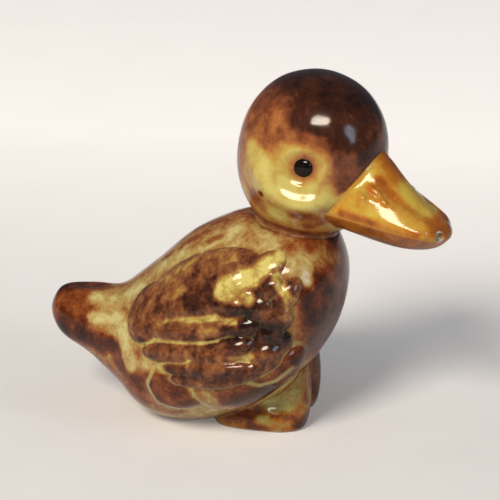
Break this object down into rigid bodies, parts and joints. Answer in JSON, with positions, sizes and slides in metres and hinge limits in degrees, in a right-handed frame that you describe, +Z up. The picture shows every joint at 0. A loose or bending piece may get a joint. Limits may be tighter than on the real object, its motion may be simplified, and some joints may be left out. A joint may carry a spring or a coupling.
{
  "type": "duckling figurine",
  "caption": "Small glazed earthenware duckling that sits upright on a flat base, with its head turned aside, a broad bill, wings in relief and a short thick tail.",
  "frame": {"origin": "middle of the figure's bounding box on the plane of its base", "axes": "+X is the way the body faces, +Z is up, and the figure's right side is at -Y"},
  "size_m": [0.0834, 0.0456, 0.0728],
  "materials": {
    "body_glaze": "glossy mottled olive and brown glaze on earthenware",
    "head_glaze": "glossy dark brown and yellow glaze on earthenware",
    "bill_glaze": "glossy amber glaze on earthenware",
    "wing_glaze": "glossy dark brown glaze on earthenware, green in the grooves",
    "foot_glaze": "glossy brown and amber glaze on earthenware",
    "eye_glaze": "glossy black glaze"
  },
  "bodies": {
    "root": {"body": "body_glaze", "head": "head_glaze", "upper_bill": "bill_glaze", "lower_bill": "bill_glaze", "right_wing": "wing_glaze", "left_wing": "wing_glaze", "right_foot": "foot_glaze", "left_foot": "foot_glaze", "right_eye": "eye_glaze", "left_eye": "eye_glaze"}
  },
  "joints": []
}
